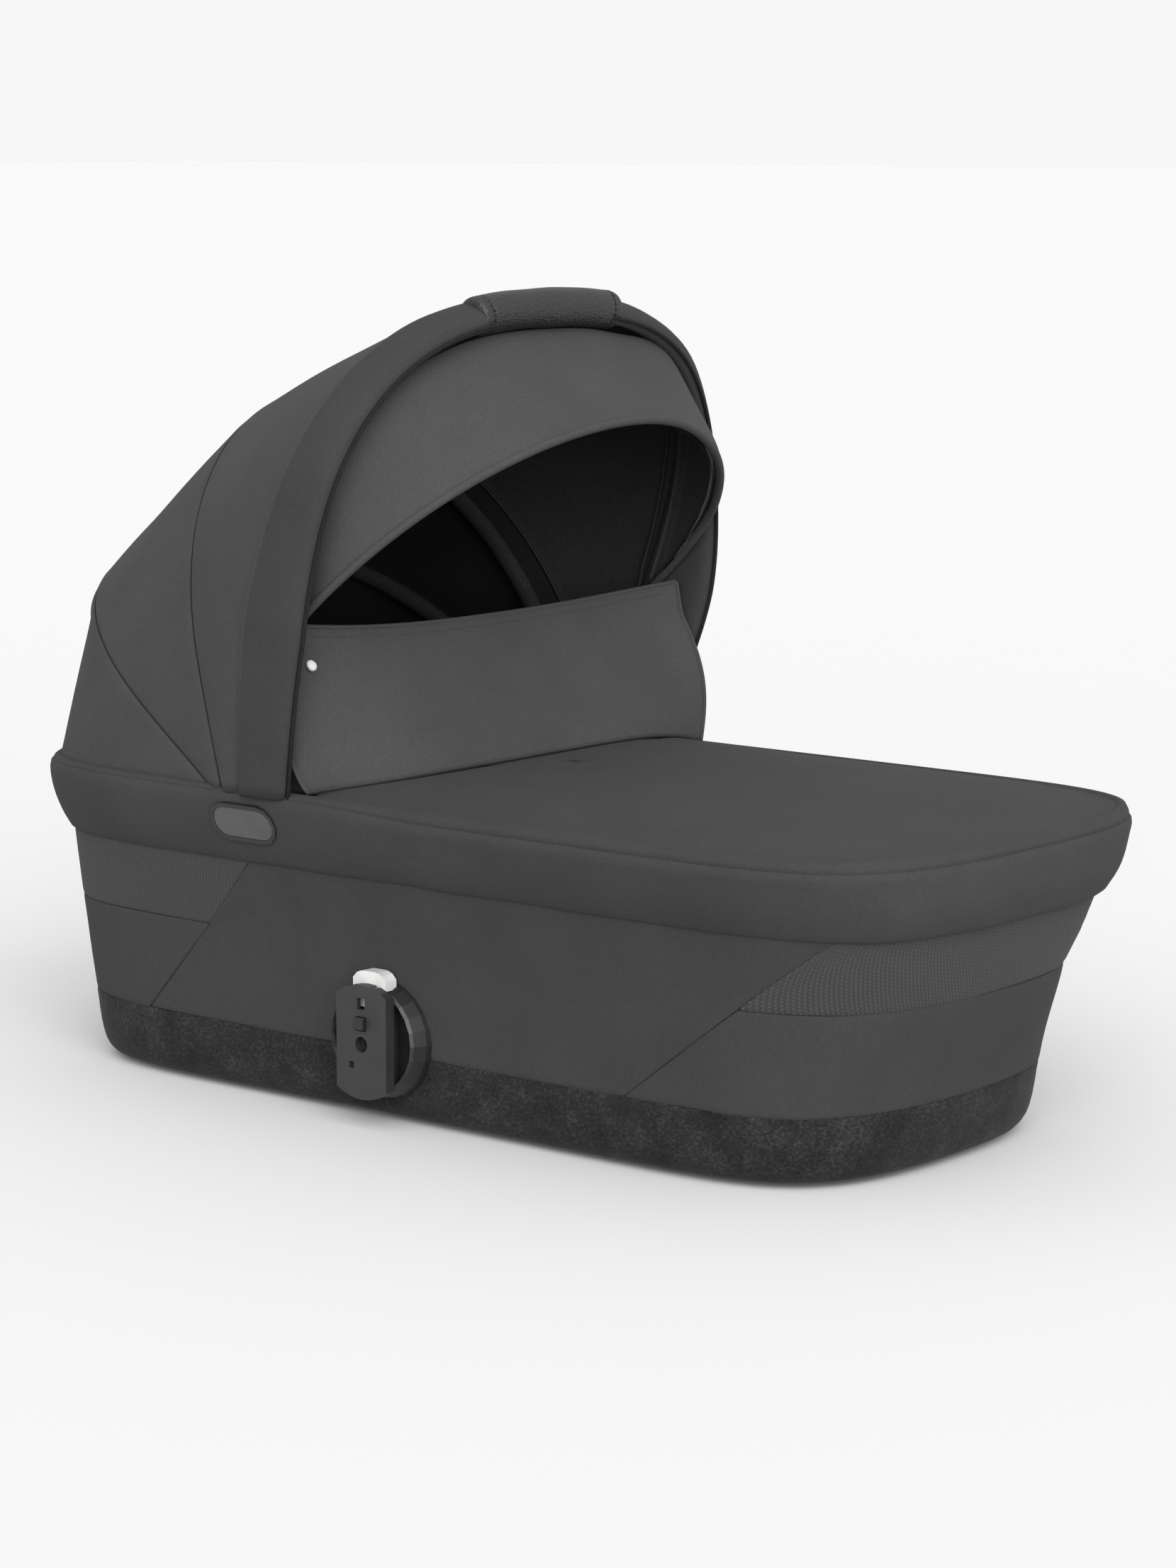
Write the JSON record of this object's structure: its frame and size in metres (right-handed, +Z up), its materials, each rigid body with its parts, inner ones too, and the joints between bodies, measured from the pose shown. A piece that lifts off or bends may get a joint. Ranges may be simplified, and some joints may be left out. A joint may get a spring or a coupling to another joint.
{
  "type": "carrycot",
  "caption": "Carrycot for a pushchair frame: a clothed rigid tub with an apron, a folding hood whose front hoop is the carrying handle, a visor and a wind flap.",
  "frame": {"origin": "middle of the bounding box, on the surface that the carrycot stands on", "axes": "+X towards the foot end, +Y towards the far side in the picture, +Z up"},
  "size_m": [0.8476, 0.474, 0.6116],
  "materials": {
    "cloth": "matt woven",
    "knit": "raised knit",
    "strip": "heathered",
    "lining": "matt",
    "plastic": "matt",
    "plastic_grey": "matt",
    "white": "satin",
    "steel": "satin",
    "alloy": "anodised",
    "leather": "grained",
    "rubber": "matt"
  },
  "bodies": {
    "tub": {"tub_shell": "plastic", "base_pad_head": "rubber", "base_pad_foot": "rubber", "base_strip": "strip", "side_cover": "cloth", "knit_panel_head": "knit", "knit_panel_foot": "knit", "rim_band": "cloth", "apron": "cloth", "liner": "lining", "mattress": "lining", "hinge_housing_near": "plastic", "hinge_housing_far": "plastic", "badge_ring_near": "plastic", "badge_ring_far": "plastic", "badge_face_near": "plastic_grey", "badge_face_far": "plastic_grey", "hinge_pin_near": "steel", "hinge_pin_far": "steel", "lock_spring_near": "steel", "lock_spring_far": "steel", "adapter_hub_near": "plastic", "adapter_hub_far": "plastic", "adapter_plate_near": "plastic_grey", "adapter_plate_far": "plastic_grey", "adapter_screw_near": "steel", "adapter_screw_far": "steel", "release_spring_near": "steel", "release_spring_far": "steel"},
    "rear_arch": {"rear_hoop": "plastic", "hood_rear_panel": "cloth"},
    "mid_arch": {"mid_hoop": "plastic", "hood_mid_panel": "cloth"},
    "handle": {"front_hoop": "alloy", "hood_front_panel": "cloth", "front_band_near": "cloth", "front_band_far": "cloth", "grip": "leather", "visor_bush_near": "plastic", "visor_bush_far": "plastic"},
    "sun_visor": {"visor_wire": "steel", "visor": "cloth"},
    "wind_flap": {"wind_flap": "cloth", "flap_snap_near": "steel", "flap_snap_far": "steel"},
    "hood_button_near": {"hood_button_near": "plastic_grey"},
    "lock_ring_near": {"lock_ring_near": "steel"},
    "release_button_near": {"release_button_near": "white"},
    "catch_near": {"catch_near": "plastic"},
    "hood_button_far": {"hood_button_far": "plastic_grey"},
    "lock_ring_far": {"lock_ring_far": "steel"},
    "release_button_far": {"release_button_far": "white"},
    "catch_far": {"catch_far": "plastic"}
  },
  "joints": [
    {"name": "rear_fold", "type": "hinge", "parent": "tub", "child": "rear_arch", "pos_m": [-0.1425, 0, 0.2187], "axis": [0, -1, 0], "range_deg": [0, 9], "deforming": ["hood_rear_panel"]},
    {"name": "mid_fold", "type": "hinge", "parent": "rear_arch", "child": "mid_arch", "pos_m": [-0.1425, 0, 0.2187], "axis": [0, -1, 0], "range_deg": [0, 24], "deforming": ["hood_mid_panel"]},
    {"name": "hood_fold", "type": "hinge", "parent": "mid_arch", "child": "handle", "pos_m": [-0.1425, 0, 0.2187], "axis": [0, -1, 0], "range_deg": [0, 27], "deforming": ["hood_front_panel", "front_band_near", "front_band_far"]},
    {"name": "visor_fold", "type": "hinge", "parent": "handle", "child": "sun_visor", "pos_m": [-0.0895, 0, 0.3622], "axis": [0, -1, 0], "range_deg": [0, 38], "deforming": ["visor"]},
    {"name": "flap_fold", "type": "hinge", "parent": "tub", "child": "wind_flap", "pos_m": [-0.0265, 0, 0.259], "axis": [0, 1, 0], "range_deg": [0, 100]},
    {"name": "hood_button_press_near", "type": "slide", "parent": "tub", "child": "hood_button_near", "axis": [0, -1, 0], "range_m": [0, 0.003], "stiffness_N_per_m": 700},
    {"name": "lock_slide_near", "type": "slide", "parent": "tub", "child": "lock_ring_near", "axis": [0, -1, 0], "range_m": [0, 0.003], "deforming": ["lock_spring_near"]},
    {"name": "release_press_near", "type": "slide", "parent": "tub", "child": "release_button_near", "axis": [0, 0, -1], "range_m": [0, 0.005], "stiffness_N_per_m": 600, "deforming": ["release_spring_near"]},
    {"name": "catch_slide_near", "type": "slide", "parent": "tub", "child": "catch_near", "axis": [0, 1, 0], "range_m": [0, 0.004]},
    {"name": "hood_button_press_far", "type": "slide", "parent": "tub", "child": "hood_button_far", "axis": [0, 1, 0], "range_m": [0, 0.003], "stiffness_N_per_m": 700},
    {"name": "lock_slide_far", "type": "slide", "parent": "tub", "child": "lock_ring_far", "axis": [0, 1, 0], "range_m": [0, 0.003], "deforming": ["lock_spring_far"]},
    {"name": "release_press_far", "type": "slide", "parent": "tub", "child": "release_button_far", "axis": [0, 0, -1], "range_m": [0, 0.005], "stiffness_N_per_m": 600, "deforming": ["release_spring_far"]},
    {"name": "catch_slide_far", "type": "slide", "parent": "tub", "child": "catch_far", "axis": [0, -1, 0], "range_m": [0, 0.004]}
  ],
  "couplings": [
    {"joint": "mid_fold", "follows": "hood_fold", "ratio": 0.88889},
    {"joint": "rear_fold", "follows": "hood_fold", "ratio": 0.33333},
    {"joint": "lock_slide_near", "follows": "hood_button_press_near", "ratio": 1},
    {"joint": "catch_slide_near", "follows": "release_press_near", "ratio": 0.8},
    {"joint": "lock_slide_far", "follows": "hood_button_press_far", "ratio": 1},
    {"joint": "catch_slide_far", "follows": "release_press_far", "ratio": 0.8}
  ]
}
